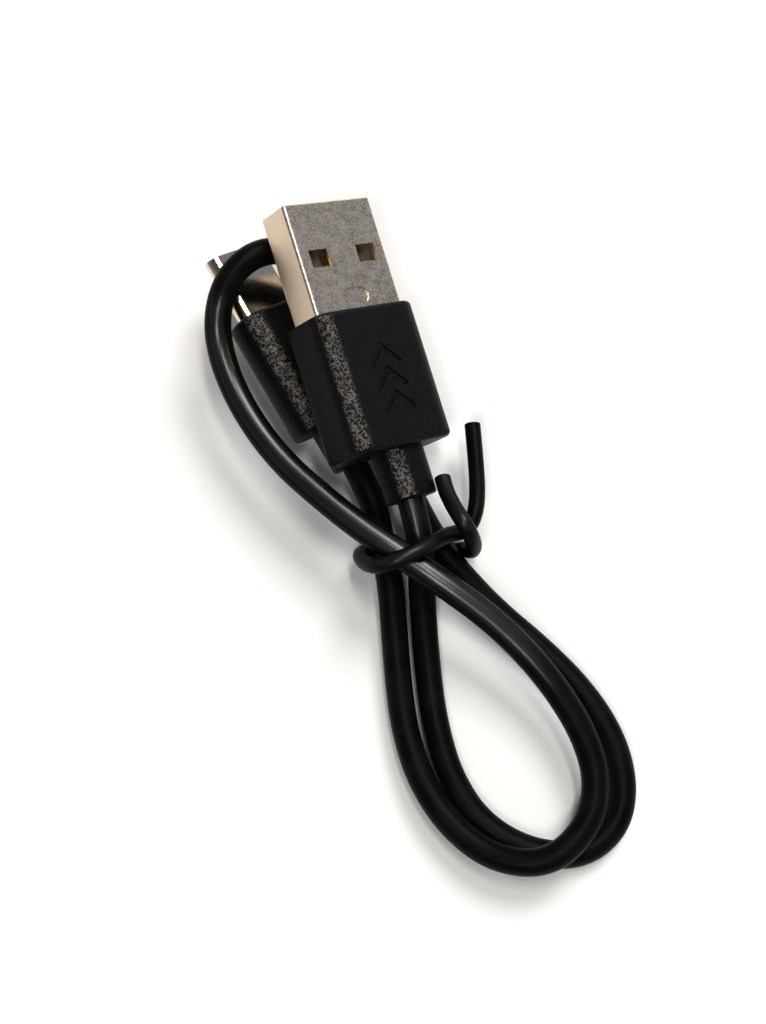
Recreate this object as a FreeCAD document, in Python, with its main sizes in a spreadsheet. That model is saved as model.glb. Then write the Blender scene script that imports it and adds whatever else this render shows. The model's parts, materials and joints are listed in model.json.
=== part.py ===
"""Short USB-A to USB-C cable, tied into a loose hank with a plastic-coated wire tie.

Sizes are in millimetres.  Each plug is drawn in its own frame: the origin lies on
its middle line, level with the rear of the strain relief, +Y points at the tip, +X across
the plug and +Z out of its top face.  The part's frame has Z up, with the table at z = 0 and the
origin under the middle of the two plugs.
"""
import FreeCAD
import Part
import Sketcher
import math
import os

DIMENSIONS = [
    ("fit_clearance", 0.04),
    ("cord_diameter", 3.0),
    ("cord_bore_clearance", 0.05),
    ("lead_diameter", 0.9),
    ("lead_spacing", 1.1),
    ("lead_straight", 1.2),
    ("tie_diameter", 1.8),
    ("tie_core_diameter", 0.5),
    ("usb_a_exit_x", 8.85),
    ("usb_a_exit_y", -16.58),
    ("usb_a_exit_z", 7.83),
    ("usb_a_yaw_angle", 17.5),
    ("usb_a_pitch_angle", 10.0),
    ("usb_a_roll_angle", 33.7),
    ("usb_a_relief_width", 5.8),
    ("usb_a_relief_height", 4.9),
    ("usb_a_relief_length", 5.6),
    ("usb_a_relief_shift", 0.8),
    ("usb_a_relief_round", 2.2),
    ("usb_a_relief_edge", 0.3),
    ("usb_a_over_side", 0.95),
    ("usb_a_over_top", 1.55),
    ("usb_a_over_length", 15.7),
    ("usb_a_over_round", 2.2),
    ("usb_a_over_edge", 0.6),
    ("usb_a_cord_seat", 8.3),
    ("usb_a_shell_width", 12.0),
    ("usb_a_shell_height", 4.5),
    ("usb_a_shell_exposed", 12.5),
    ("usb_a_shell_buried", 6.0),
    ("usb_a_sheet", 0.3),
    ("usb_a_bend_round", 0.38),
    ("usb_a_lip_bevel", 0.12),
    ("usb_a_seam", 0.12),
    ("usb_a_window_width", 2.5),
    ("usb_a_window_length", 2.0),
    ("usb_a_window_spacing", 6.5),
    ("usb_a_window_setback", 6.25),
    ("usb_a_dimple_width", 3.6),
    ("usb_a_dimple_length", 1.9),
    ("usb_a_dimple_depth", 0.2),
    ("usb_a_dimple_setback", 10.9),
    ("usb_a_tongue_height", 1.9),
    ("usb_a_tongue_setback", 0.4),
    ("usb_a_tongue_inset", 0.6),
    ("usb_a_contact_width", 1.0),
    ("usb_a_contact_sheet", 0.25),
    ("usb_a_power_spacing", 7.0),
    ("usb_a_data_spacing", 2.0),
    ("usb_a_power_setback", 1.6),
    ("usb_a_data_setback", 2.6),
    ("usb_a_tail_length", 2.0),
    ("usb_a_core_side", 0.8),
    ("usb_a_core_top", 0.15),
    ("usb_a_mark_arm", 3.1),
    ("usb_a_mark_offset", 0.97),
    ("usb_a_mark_stroke", 0.55),
    ("usb_a_mark_depth", 0.15),
    ("usb_a_mark_spacing", 2.6),
    ("usb_a_mark_setback", 5.6),
    ("usb_a_mark_angle", 45.0),
    ("usb_c_exit_x", 3.2),
    ("usb_c_exit_y", -11.1),
    ("usb_c_exit_z", 3.5),
    ("usb_c_yaw_angle", 30.5),
    ("usb_c_pitch_angle", 8.0),
    ("usb_c_roll_angle", 32.6),
    ("usb_c_relief_width", 5.4),
    ("usb_c_relief_height", 4.4),
    ("usb_c_relief_length", 5.0),
    ("usb_c_relief_round", 2.0),
    ("usb_c_relief_edge", 0.3),
    ("usb_c_over_side", 1.075),
    ("usb_c_over_top", 1.6),
    ("usb_c_over_length", 14.8),
    ("usb_c_over_round", 2.5),
    ("usb_c_over_edge", 0.5),
    ("usb_c_cord_seat", 7.0),
    ("usb_c_shell_width", 8.25),
    ("usb_c_shell_height", 2.4),
    ("usb_c_shell_exposed", 7.8),
    ("usb_c_shell_buried", 3.5),
    ("usb_c_sheet", 0.2),
    ("usb_c_housing_setback", 0.2),
    ("usb_c_mouth_wall", 0.675),
    ("usb_c_board_sheet", 0.8),
    ("usb_c_board_length", 6.2),
    ("usb_c_board_overlap", 1.0),
    ("usb_c_contact_width", 0.25),
    ("usb_c_contact_sheet", 0.12),
    ("usb_c_contact_inset", 0.7),
    ("usb_c_contact_setback", 1.3),
    ("usb_c_tail_length", 1.2),
    ("usb_c_latch_width", 0.25),
    ("usb_c_latch_sheet", 0.3),
    ("usb_c_latch_setback", 1.0),
    ("usb_c_latch_bridge", 0.6),
    ("usb_c_chip_width", 0.5),
    ("usb_c_chip_length", 1.0),
    ("usb_c_chip_height", 0.35),
    ("usb_c_chip_setback", 4.2),
    ("usb_c_lead_spacing", 3.4),
    ("usb_c_lead_overlap", 1.8),
    ("usb_c_core_side", 0.4),
    ("usb_c_core_top", 0.6),
]

# Places of the contacts across the USB-C mouth, counted in spacings from its middle.
PIN_PLACES = 12
UPPER_PINS = (-5.5, -2.5, -1.5, -0.5, 0.5, 2.5, 5.5)
LOWER_PINS = (-5.5, -2.5, 2.5, 5.5)

# The cord between the two strain reliefs, from the USB-A plug to the USB-C plug.
CORD_ROUTE = [
    (10.5, -24.6, 4.1),
    (10.8, -28.9, 2.0),
    (11.2, -34.2, 1.5),
    (11.9, -39.9, 1.5),
    (13.5, -45.8, 1.5),
    (16.6, -50.7, 1.5),
    (21.6, -53.8, 1.5),
    (27.3, -54.4, 1.5),
    (31.4, -51.4, 1.5),
    (32.5, -46.8, 1.5),
    (31.3, -41.5, 1.5),
    (28.1, -36.4, 1.5),
    (23.7, -31.9, 1.6),
    (18.8, -27.8, 2.0),
    (14.8, -23.7, 3.0),
    (12.3, -20.5, 3.8),
    (10.2, -16.4, 2.8),
    (8.3, -11.6, 1.6),
    (6.5, -5.9, 1.5),
    (4.9, -0.1, 1.6),
    (2.5, 3.2, 2.4),
    (1.4, 7.4, 4.4),
    (-0.3, 10.0, 6.9),
    (-2.7, 11.4, 9.4),
    (-5.5, 11.3, 11.5),
    (-8.1, 10.1, 12.7),
    (-10.4, 7.9, 12.7),
    (-11.8, 5.1, 11.3),
    (-12.1, 1.7, 9.4),
    (-10.8, -2.8, 8.3),
    (-8.2, -7.7, 8.0),
    (-4.7, -12.3, 8.1),
    (-0.6, -16.1, 8.4),
    (3.7, -19.7, 8.7),
    (8.2, -22.8, 8.9),
    (12.4, -25.7, 8.6),
    (17.2, -29.0, 7.6),
    (21.5, -32.8, 6.5),
    (25.2, -37.2, 5.6),
    (28.0, -42.0, 5.0),
    (29.2, -46.9, 4.8),
    (27.9, -51.6, 4.8),
    (23.7, -55.3, 4.7),
    (18.0, -54.7, 3.7),
    (13.5, -51.2, 3.0),
    (10.3, -46.3, 2.6),
    (8.6, -40.7, 2.2),
    (7.9, -34.8, 2.2),
    (7.5, -29.3, 2.6),
    (7.1, -24.6, 3.7),
    (6.3, -21.0, 4.0),
]
# How far outside each relief the cord still runs straight.
USB_A_CORD_LEAD = 3.8
USB_C_CORD_LEAD = 3.6

# The wire tie: long tail, over the hank, round under it, across the long tail, short tail.
TIE_ROUTE = [
    (16.3, -7.2, 5.6),
    (16.7, -12.5, 5.8),
    (16.7, -15.8, 6.2),
    (16.4, -17.7, 6.4),
    (15.8, -19.1, 6.3),
    (14.6, -19.9, 6.7),
    (13.1, -20.6, 8.5),
    (10.7, -22.6, 11.1),
    (8.2, -23.9, 11.7),
    (6.0, -24.5, 10.6),
    (4.5, -23.7, 8.0),
    (3.8, -22.3, 5.2),
    (3.9, -21.2, 2.5),
    (5.7, -20.6, 1.0),
    (9.1, -20.6, 1.0),
    (12.6, -20.8, 1.0),
    (15.4, -20.6, 1.6),
    (16.2, -21.3, 3.6),
    (16.3, -21.1, 6.0),
    (15.8, -20.8, 9.0),
    (15.1, -20.0, 10.8),
    (14.2, -18.4, 10.2),
    (13.5, -16.7, 9.2),
    (13.0, -15.2, 8.5),
    (12.8, -14.1, 8.2),
]
# Share of the shorter run that each bend takes up.
BEND_SHARE = 0.45
# Lengths and places that differ by less than this are the same.
NEAR = 1e-6

doc = FreeCAD.newDocument("cable")
sheet = doc.addObject("Spreadsheet::Sheet", "Dims")
for row, (alias, value) in enumerate(DIMENSIONS, start=1):
    sheet.set("A%d" % row, alias)
    sheet.set("B%d" % row, str(value))
    sheet.setAlias("B%d" % row, alias)
doc.recompute()


def size(alias):
    """Value of one cell of the sheet, in millimetres or degrees."""
    return float(sheet.get(alias))


def cells(text):
    """Expression in which every name of the sheet is written out in full."""
    words = []
    for word in text.split():
        known = any(word == alias for alias, value in DIMENSIONS)
        words.append("Dims." + word if known else word)
    return " ".join(words)


def plug_placement(plug):
    """Placement of a plug's own frame in the part's frame."""
    turn = FreeCAD.Rotation(FreeCAD.Vector(0, 0, 1), size(plug + "_yaw_angle"))
    turn = turn * FreeCAD.Rotation(FreeCAD.Vector(1, 0, 0), size(plug + "_pitch_angle"))
    turn = turn * FreeCAD.Rotation(FreeCAD.Vector(0, 1, 0), size(plug + "_roll_angle"))
    exit_point = [size(plug + "_exit_" + axis) for axis in "xyz"]
    return FreeCAD.Placement(FreeCAD.Vector(*exit_point), turn)


PLACES = {plug: plug_placement(plug) for plug in ("usb_a", "usb_c")}
NODES = []


def new_body(plug, name):
    """Empty body of one plug, already in its place."""
    label = plug + "_" + name
    body = doc.addObject("PartDesign::Body", label)
    body.Label = label
    body.Placement = PLACES[plug]
    NODES.append(body)
    return body


def new_sketch(body, plane, offset, turn=0.0):
    """Sketch on one of the body's own origin planes, shifted by three expressions."""
    sketch = body.newObject("Sketcher::SketchObject", "Sketch")
    support = [item for item in body.Origin.OriginFeatures if item.Role == plane][0]
    sketch.AttachmentSupport = [(support, "")]
    sketch.MapMode = "FlatFace"
    spin = FreeCAD.Rotation(FreeCAD.Vector(0, 0, 1), turn)
    sketch.AttachmentOffset = FreeCAD.Placement(FreeCAD.Vector(), spin)
    for axis, expression in zip("xyz", offset):
        sketch.setExpression("AttachmentOffset.Base." + axis, cells(expression))
    return sketch


def draw_rectangle(sketch, width, height):
    """Rectangle centred on the sketch's origin."""
    corners = [(-2, -1), (2, -1), (2, 1), (-2, 1)]
    points = [FreeCAD.Vector(x, y, 0) for x, y in corners]
    for i in range(4):
        sketch.addGeometry(Part.LineSegment(points[i], points[(i + 1) % 4]))
    for i in range(4):
        sketch.addConstraint(Sketcher.Constraint("Coincident", i, 2, (i + 1) % 4, 1))
    for i in (0, 2):
        sketch.addConstraint(Sketcher.Constraint("Horizontal", i))
        sketch.addConstraint(Sketcher.Constraint("Vertical", i + 1))
    sketch.addConstraint(Sketcher.Constraint("Symmetric", 0, 1, 2, 1, -1, 1))
    across = sketch.addConstraint(Sketcher.Constraint("DistanceX", 0, 1, 0, 2, 4.0))
    upward = sketch.addConstraint(Sketcher.Constraint("DistanceY", 1, 1, 1, 2, 2.0))
    sketch.renameConstraint(across, "across")
    sketch.renameConstraint(upward, "upward")
    sketch.setExpression("Constraints.across", cells(width))
    sketch.setExpression("Constraints.upward", cells(height))


def draw_stadium(sketch, width, height):
    """Rectangle with half-round ends, centred on the sketch's origin."""
    axis = FreeCAD.Vector(0, 0, 1)
    right = Part.Circle(FreeCAD.Vector(2, 0, 0), axis, 1.0)
    left = Part.Circle(FreeCAD.Vector(-2, 0, 0), axis, 1.0)
    quarter = math.pi / 2
    sketch.addGeometry(Part.LineSegment(FreeCAD.Vector(-2, 1, 0), FreeCAD.Vector(2, 1, 0)))
    sketch.addGeometry(Part.ArcOfCircle(right, -quarter, quarter))
    sketch.addGeometry(Part.LineSegment(FreeCAD.Vector(2, -1, 0), FreeCAD.Vector(-2, -1, 0)))
    sketch.addGeometry(Part.ArcOfCircle(left, quarter, 3 * quarter))
    for first, second in (((0, 2), (1, 2)), ((1, 1), (2, 1)), ((2, 2), (3, 2)), ((3, 1), (0, 1))):
        sketch.addConstraint(Sketcher.Constraint("Tangent", *first, *second))
    sketch.addConstraint(Sketcher.Constraint("Equal", 1, 3))
    sketch.addConstraint(Sketcher.Constraint("Horizontal", 0))
    sketch.addConstraint(Sketcher.Constraint("Symmetric", 1, 3, 3, 3, -1, 1))
    across = sketch.addConstraint(Sketcher.Constraint("DistanceX", 3, 3, 1, 3, 4.0))
    upward = sketch.addConstraint(Sketcher.Constraint("DistanceY", 1, 1, 1, 2, 2.0))
    sketch.renameConstraint(across, "across")
    sketch.renameConstraint(upward, "upward")
    sketch.setExpression("Constraints.across", cells("( %s ) - ( %s )" % (width, height)))
    sketch.setExpression("Constraints.upward", cells(height))


def draw_circle(sketch, diameter):
    """Circle centred on the sketch's origin."""
    sketch.addGeometry(Part.Circle(FreeCAD.Vector(), FreeCAD.Vector(0, 0, 1), 1.0))
    sketch.addConstraint(Sketcher.Constraint("Coincident", 0, 3, -1, 1))
    round_size = sketch.addConstraint(Sketcher.Constraint("Diameter", 0, 2.0))
    sketch.renameConstraint(round_size, "round")
    sketch.setExpression("Constraints.round", cells(diameter))


def section(body, start, centre=("0", "0")):
    """Sketch across the plug at a distance from the cord exit."""
    return new_sketch(body, "XZ_Plane", (centre[0], centre[1], "0 - ( %s )" % start))


def grow(body, sketch, length):
    """Pad a section towards the tip."""
    pad = body.newObject("PartDesign::Pad", "Pad")
    pad.Profile = sketch
    pad.Reversed = True
    pad.setExpression("Length", cells(length))
    doc.recompute()
    return pad


def sink(body, sketch, length, to_tip):
    """Pocket a section towards the tip or towards the cord, and see that it cut."""
    before = body.Shape.Volume
    pocket = body.newObject("PartDesign::Pocket", "Pocket")
    pocket.Profile = sketch
    pocket.Reversed = not to_tip
    pocket.setExpression("Length", cells(length))
    doc.recompute()
    if body.Shape.Volume >= before - NEAR:
        raise ValueError("a pocket in %s cut nothing" % body.Label)
    return pocket


def lies_along(edge, axis):
    """True for a straight edge along one of the plug's own axes."""
    if len(edge.Vertexes) != 2:
        return False
    run = edge.Vertexes[1].Point - edge.Vertexes[0].Point
    straight = abs(run.Length - edge.Length) < NEAR
    return straight and abs(abs(run.dot(axis)) - run.Length) < NEAR


def dress(body, kind, feature, test, value):
    """Round or bevel the edges of a feature that pass a test."""
    names = ["Edge%d" % (i + 1) for i, edge in enumerate(feature.Shape.Edges) if test(edge)]
    finish = body.newObject("PartDesign::" + kind, kind)
    finish.Base = (feature, names)
    finish.setExpression("Radius" if kind == "Fillet" else "Size", cells(value))
    doc.recompute()
    return finish


LENGTHWISE = FreeCAD.Vector(0, 1, 0)


def round_long_edges(body, feature, value):
    """Round the edges that run along the plug."""
    return dress(body, "Fillet", feature, lambda edge: lies_along(edge, LENGTHWISE), value)


def bar(plug, name, width, height, centre, start, length):
    """Plain rectangular bar along the plug, as a body of its own."""
    body = new_body(plug, name)
    sketch = section(body, start, centre)
    draw_rectangle(sketch, width, height)
    grow(body, sketch, length)
    return body


def bent_wire(points, report=None):
    """Straight runs joined by tangent arcs, as one wire, with its arc radii."""
    vectors = [FreeCAD.Vector(*point) for point in points]
    edges = []
    radii = []
    start = vectors[0]
    for before, corner, after in zip(vectors, vectors[1:], vectors[2:]):
        run_in = before - corner
        run_out = after - corner
        trim = BEND_SHARE * min(run_in.Length, run_out.Length)
        half_turn = (math.pi - run_in.getAngle(run_out)) / 2
        radii.append(trim / math.tan(half_turn))
        unit_in = FreeCAD.Vector(run_in).normalize()
        unit_out = FreeCAD.Vector(run_out).normalize()
        inward = (unit_in + unit_out).normalize()
        middle = corner + inward * (radii[-1] / math.cos(half_turn) - radii[-1])
        arc_start = corner + unit_in * trim
        arc_end = corner + unit_out * trim
        edges.append(Part.LineSegment(start, arc_start).toShape())
        edges.append(Part.Arc(arc_start, middle, arc_end).toShape())
        start = arc_end
    edges.append(Part.LineSegment(start, vectors[-1]).toShape())
    if report:
        print(report, "arc radii:", " ".join("%.1f" % radius for radius in radii))
    return Part.Wire(edges)


def round_face(wire, diameter, hole=0.0):
    """Disc across the start of a wire, with an optional round hole."""
    first = wire.OrderedVertexes[0].Point
    edge = wire.OrderedEdges[0]
    way = edge.tangentAt(edge.FirstParameter)
    outer = Part.Wire(Part.Circle(first, way, diameter / 2).toShape())
    if not hole:
        return Part.Face(outer)
    inner = Part.Wire(Part.Circle(first, way, hole / 2).toShape())
    return Part.Face(outer).cut(Part.Face(inner)).Faces[0]


def tube(wire, diameter, hole=0.0):
    """Round tube along a wire, checked against section times length."""
    solid = Part.Solid(wire.makePipe(round_face(wire, diameter, hole)))
    if solid.Volume < 0:
        solid.reverse()
    plain = math.pi / 4 * (diameter ** 2 - hole ** 2) * wire.Length
    if not solid.isValid() or abs(solid.Volume / plain - 1) > 0.01:
        raise ValueError("tube volume %.3f for %.3f" % (solid.Volume, plain))
    return solid


def keep(label, shape, placement=None):
    """Shape that no sketch can draw, as a document object of its own."""
    item = doc.addObject("Part::Feature", label)
    item.Label = label
    item.Shape = shape
    if placement:
        item.Placement = placement
    NODES.append(item)
    return item


def block(width, height, start, end, centre=(0.0, 0.0)):
    """Box along the plug between two distances from the cord exit."""
    corner = FreeCAD.Vector(centre[0] - width / 2, start, centre[1] - height / 2)
    return Part.makeBox(width, end - start, height, corner)


OVER_WIDTH = "{0}_shell_width + 2 * {0}_over_side"
OVER_HEIGHT = "{0}_shell_height + 2 * {0}_over_top"


def moulding(plug, draw_shell, core_size, shift):
    """Outer moulding of a plug with its relief, cord bore and seats."""
    front = "{0}_relief_length + {0}_over_length".format(plug)
    shell_rear = "%s - %s_shell_buried" % (front, plug)
    body = new_body(plug, "overmould")
    sketch = section(body, plug + "_relief_length")
    draw_rectangle(sketch, OVER_WIDTH.format(plug), OVER_HEIGHT.format(plug))
    shape = grow(body, sketch, plug + "_over_length")
    shape = round_long_edges(body, shape, plug + "_over_round")
    shape = dress(body, "Fillet", shape, lambda edge: not lies_along(edge, LENGTHWISE), plug + "_over_edge")
    sketch = section(body, "0", (shift, "0"))
    draw_rectangle(sketch, plug + "_relief_width", plug + "_relief_height")
    shape = grow(body, sketch, plug + "_relief_length")
    reach = size(plug + "_relief_length") + NEAR

    def on_relief(edge):
        return lies_along(edge, LENGTHWISE) and edge.BoundBox.YMax < reach

    shape = dress(body, "Fillet", shape, on_relief, plug + "_relief_round")
    dress(body, "Fillet", shape, lambda edge: edge.BoundBox.YMax < NEAR, plug + "_relief_edge")
    sketch = section(body, front)
    draw_shell(sketch, plug + "_shell_width + 2 * fit_clearance", plug + "_shell_height + 2 * fit_clearance")
    sink(body, sketch, plug + "_shell_buried", to_tip=False)
    sketch = section(body, shell_rear)
    draw_rectangle(sketch, core_size[0] + " + 2 * fit_clearance", core_size[1] + " + 2 * fit_clearance")
    sink(body, sketch, "%s - %s_cord_seat" % (shell_rear, plug), to_tip=False)
    sketch = section(body, "0", (shift, "0"))
    draw_circle(sketch, "cord_diameter + 2 * cord_bore_clearance")
    sink(body, sketch, plug + "_cord_seat", to_tip=True)
    return body


# USB-A plug
A_FRONT = "usb_a_relief_length + usb_a_over_length"
A_TIP = A_FRONT + " + usb_a_shell_exposed"
A_SHELL_REAR = A_FRONT + " - usb_a_shell_buried"
A_SHELL_LENGTH = "usb_a_shell_exposed + usb_a_shell_buried"
A_CORE = ("usb_a_shell_width - 2 * usb_a_core_side", "usb_a_shell_height - 2 * usb_a_core_top")

usb_a_over = moulding("usb_a", draw_rectangle, A_CORE, "usb_a_relief_shift")
over_top = "usb_a_shell_height / 2 + usb_a_over_top"
for place in range(3):
    for side in (-1, 1):
        across = "%d * usb_a_mark_offset" % side
        along = "%s - usb_a_mark_setback - %d * usb_a_mark_spacing" % (A_FRONT, place)
        slant = -side * size("usb_a_mark_angle")
        sketch = new_sketch(usb_a_over, "XY_Plane", (across, along, over_top), slant)
        draw_rectangle(sketch, "usb_a_mark_arm", "usb_a_mark_stroke")
        sink(usb_a_over, sketch, "usb_a_mark_depth", to_tip=True)

usb_a_shell = new_body("usb_a", "shell")
sketch = section(usb_a_shell, A_SHELL_REAR)
draw_rectangle(sketch, "usb_a_shell_width", "usb_a_shell_height")
shape = grow(usb_a_shell, sketch, A_SHELL_LENGTH)
shape = round_long_edges(usb_a_shell, shape, "usb_a_bend_round")
tip_y = size("usb_a_relief_length") + size("usb_a_over_length") + size("usb_a_shell_exposed")
dress(usb_a_shell, "Chamfer", shape, lambda edge: edge.BoundBox.YMin > tip_y - NEAR, "usb_a_lip_bevel")
sketch = section(usb_a_shell, A_TIP)
draw_rectangle(sketch, "usb_a_shell_width - 2 * usb_a_sheet", "usb_a_shell_height - 2 * usb_a_sheet")
shape = sink(usb_a_shell, sketch, A_SHELL_LENGTH, to_tip=False)
inner_x = size("usb_a_shell_width") / 2 - size("usb_a_sheet")


def at_inner_corner(edge):
    return lies_along(edge, LENGTHWISE) and abs(abs(edge.Vertexes[0].Point.x) - inner_x) < NEAR


dress(usb_a_shell, "Fillet", shape, at_inner_corner, "usb_a_bend_round - usb_a_sheet")
for side in (-1, 1):
    across = "%d * usb_a_window_spacing / 2" % side
    along = A_TIP + " - usb_a_window_setback"
    sketch = new_sketch(usb_a_shell, "XY_Plane", (across, along, "usb_a_shell_height / 2"))
    draw_rectangle(sketch, "usb_a_window_width", "usb_a_window_length")
    sink(usb_a_shell, sketch, "usb_a_shell_height", to_tip=True)
along = A_TIP + " - usb_a_dimple_setback"
sketch = new_sketch(usb_a_shell, "XY_Plane", ("0", along, "usb_a_shell_height / 2"))
draw_stadium(sketch, "usb_a_dimple_width", "usb_a_dimple_length")
sink(usb_a_shell, sketch, "usb_a_dimple_depth", to_tip=True)
sketch = section(usb_a_shell, A_TIP, ("0", "( usb_a_sheet - usb_a_shell_height ) / 2"))
draw_rectangle(sketch, "usb_a_seam", "2 * usb_a_sheet")
sink(usb_a_shell, sketch, A_SHELL_LENGTH, to_tip=False)

TONGUE_REAR = A_SHELL_REAR + " + usb_a_tongue_inset"
TONGUE_LENGTH = A_SHELL_LENGTH + " - usb_a_tongue_inset - usb_a_tongue_setback"
TONGUE_FLOOR = "usb_a_sheet + fit_clearance - usb_a_shell_height / 2"
TONGUE_TOP = TONGUE_FLOOR + " + usb_a_tongue_height"
CONTACT_CENTRE = TONGUE_TOP + " - usb_a_contact_sheet / 2"
CONTACTS = [
    ("power_contact", "usb_a_power_spacing / 2", "usb_a_power_setback"),
    ("data_minus_contact", "usb_a_data_spacing / 2", "usb_a_data_setback"),
    ("data_plus_contact", "0 - usb_a_data_spacing / 2", "usb_a_data_setback"),
    ("ground_contact", "0 - usb_a_power_spacing / 2", "usb_a_power_setback"),
]
width = "usb_a_shell_width - 2 * usb_a_sheet - 2 * fit_clearance"
height = "usb_a_tongue_height"
middle = ("0", TONGUE_FLOOR + " + usb_a_tongue_height / 2")
tongue = bar("usb_a", "tongue", width, height, middle, TONGUE_REAR, TONGUE_LENGTH)
tongue_middle = tongue.Tip.Shape.BoundBox.Center.z


def at_lower_corner(edge):
    return lies_along(edge, LENGTHWISE) and edge.BoundBox.ZMax < tongue_middle


dress(tongue, "Fillet", tongue.Tip, at_lower_corner, "usb_a_bend_round - usb_a_sheet")
for name, across, setback in CONTACTS:
    strip_rear = "( %s ) - usb_a_tail_length" % TONGUE_REAR
    strip_length = "%s + usb_a_tail_length - %s" % (TONGUE_LENGTH, setback)
    width = "usb_a_contact_width"
    height = "usb_a_contact_sheet"
    middle = (across, CONTACT_CENTRE)
    sketch = section(tongue, TONGUE_REAR, middle)
    draw_rectangle(sketch, width + " + 2 * fit_clearance", height + " + 2 * fit_clearance")
    sink(tongue, sketch, "%s - %s + fit_clearance" % (TONGUE_LENGTH, setback), to_tip=True)
    bar("usb_a", name, width, height, middle, strip_rear, strip_length)

gap = size("fit_clearance")
lead = size("lead_diameter")
half_step = size("lead_spacing") / 2
tongue_top = size("usb_a_sheet") + gap - size("usb_a_shell_height") / 2 + size("usb_a_tongue_height")
shell_rear = tip_y - size("usb_a_shell_exposed") - size("usb_a_shell_buried")
tongue_rear = shell_rear + size("usb_a_tongue_inset")
shift = size("usb_a_relief_shift")
seat = size("usb_a_cord_seat")
lead_end = tongue_rear - gap
joint_start = tongue_rear - size("usb_a_tail_length") - gap
lead_height = tongue_top + gap + lead / 2
power_x = size("usb_a_power_spacing") / 2
data_x = size("usb_a_data_spacing") / 2
A_LEADS = [
    ("red_lead", (shift + half_step, half_step), power_x),
    ("white_lead", (shift + half_step, -half_step), data_x),
    ("green_lead", (shift - half_step, -half_step), -data_x),
    ("black_lead", (shift - half_step, half_step), -power_x),
]
core_width = size("usb_a_shell_width") - 2 * size("usb_a_core_side")
core_height = size("usb_a_shell_height") - 2 * size("usb_a_core_top")
core = block(core_width, core_height, seat, shell_rear - gap)
floor_z = tongue_top - size("usb_a_contact_sheet") - gap
for name, (start_x, start_z), end_x in A_LEADS:
    route = [
        (start_x, seat, start_z),
        (start_x, seat + size("lead_straight"), start_z),
        (end_x, joint_start, lead_height),
        (end_x, lead_end, lead_height),
    ]
    wire = bent_wire(route)
    keep("usb_a_" + name, tube(wire, lead), PLACES["usb_a"])
    core = core.cut(tube(wire, lead + 2 * gap))
    tail_width = size("usb_a_contact_width") + 2 * gap
    tail_height = lead_height - floor_z
    tail = block(tail_width, tail_height, joint_start, shell_rear, (end_x, floor_z + tail_height / 2))
    core = core.cut(tail)
keep("usb_a_inner_mould", core, PLACES["usb_a"])

# USB-C plug
C_FRONT = "usb_c_relief_length + usb_c_over_length"
C_TIP = C_FRONT + " + usb_c_shell_exposed"
C_SHELL_REAR = C_FRONT + " - usb_c_shell_buried"
C_SHELL_LENGTH = "usb_c_shell_exposed + usb_c_shell_buried"
C_BOARD_FRONT = C_SHELL_REAR + " + usb_c_board_overlap"
C_BOARD_REAR = C_BOARD_FRONT + " - usb_c_board_length"
MOUTH_WIDTH = "usb_c_shell_width - 2 * usb_c_mouth_wall"
MOUTH_HEIGHT = "usb_c_board_sheet + 2 * usb_c_contact_sheet + 4 * fit_clearance"
C_CORE = ("usb_c_shell_width - 2 * usb_c_core_side", "usb_c_shell_height + 2 * usb_c_core_top")

moulding("usb_c", draw_stadium, C_CORE, "0")

usb_c_shell = new_body("usb_c", "shell")
sketch = section(usb_c_shell, C_SHELL_REAR)
draw_stadium(sketch, "usb_c_shell_width", "usb_c_shell_height")
grow(usb_c_shell, sketch, C_SHELL_LENGTH)
sketch = section(usb_c_shell, C_TIP)
draw_stadium(sketch, "usb_c_shell_width - 2 * usb_c_sheet", "usb_c_shell_height - 2 * usb_c_sheet")
sink(usb_c_shell, sketch, C_SHELL_LENGTH, to_tip=False)

housing_width = "usb_c_shell_width - 2 * usb_c_sheet - 2 * fit_clearance"
housing_height = "usb_c_shell_height - 2 * usb_c_sheet - 2 * fit_clearance"
housing = new_body("usb_c", "housing")
sketch = section(housing, C_SHELL_REAR)
draw_stadium(sketch, housing_width, housing_height)
grow(housing, sketch, C_SHELL_LENGTH + " - usb_c_housing_setback")
sketch = section(housing, C_SHELL_REAR)
draw_rectangle(sketch, MOUTH_WIDTH, MOUTH_HEIGHT)
sink(housing, sketch, C_SHELL_LENGTH, to_tip=True)

board_half = size("usb_c_board_sheet") / 2
c_front = size("usb_c_relief_length") + size("usb_c_over_length")
c_shell_rear = c_front - size("usb_c_shell_buried")
c_tip = c_front + size("usb_c_shell_exposed")
strip_rear = c_shell_rear - size("usb_c_tail_length")
strip_front = c_tip - size("usb_c_contact_setback")
mouth_width = size("usb_c_shell_width") - 2 * size("usb_c_mouth_wall")
contact_step = (mouth_width - 2 * size("usb_c_contact_inset")) / (PIN_PLACES - 1)
strip_height = board_half + gap + size("usb_c_contact_sheet") / 2
for name, pins, side in (("upper_contacts", UPPER_PINS, 1), ("lower_contacts", LOWER_PINS, -1)):
    strips = []
    for pin in pins:
        middle = (pin * contact_step, side * strip_height)
        width = size("usb_c_contact_width")
        strips.append(block(width, size("usb_c_contact_sheet"), strip_rear, strip_front, middle))
    keep("usb_c_" + name, Part.makeCompound(strips), PLACES["usb_c"])

latch = new_body("usb_c", "latch")
bridge_rear = C_BOARD_FRONT + " + fit_clearance"
sketch = section(latch, bridge_rear)
slot_width = MOUTH_WIDTH + " - 2 * fit_clearance"
draw_rectangle(sketch, slot_width, "usb_c_latch_sheet")
latch_length = "%s - usb_c_latch_setback - ( %s )" % (C_TIP, bridge_rear)
grow(latch, sketch, latch_length)
sketch = section(latch, bridge_rear + " + usb_c_latch_bridge")
draw_rectangle(sketch, slot_width + " - 2 * usb_c_latch_width", "2 * usb_c_latch_sheet")
sink(latch, sketch, latch_length, to_tip=True)

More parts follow.
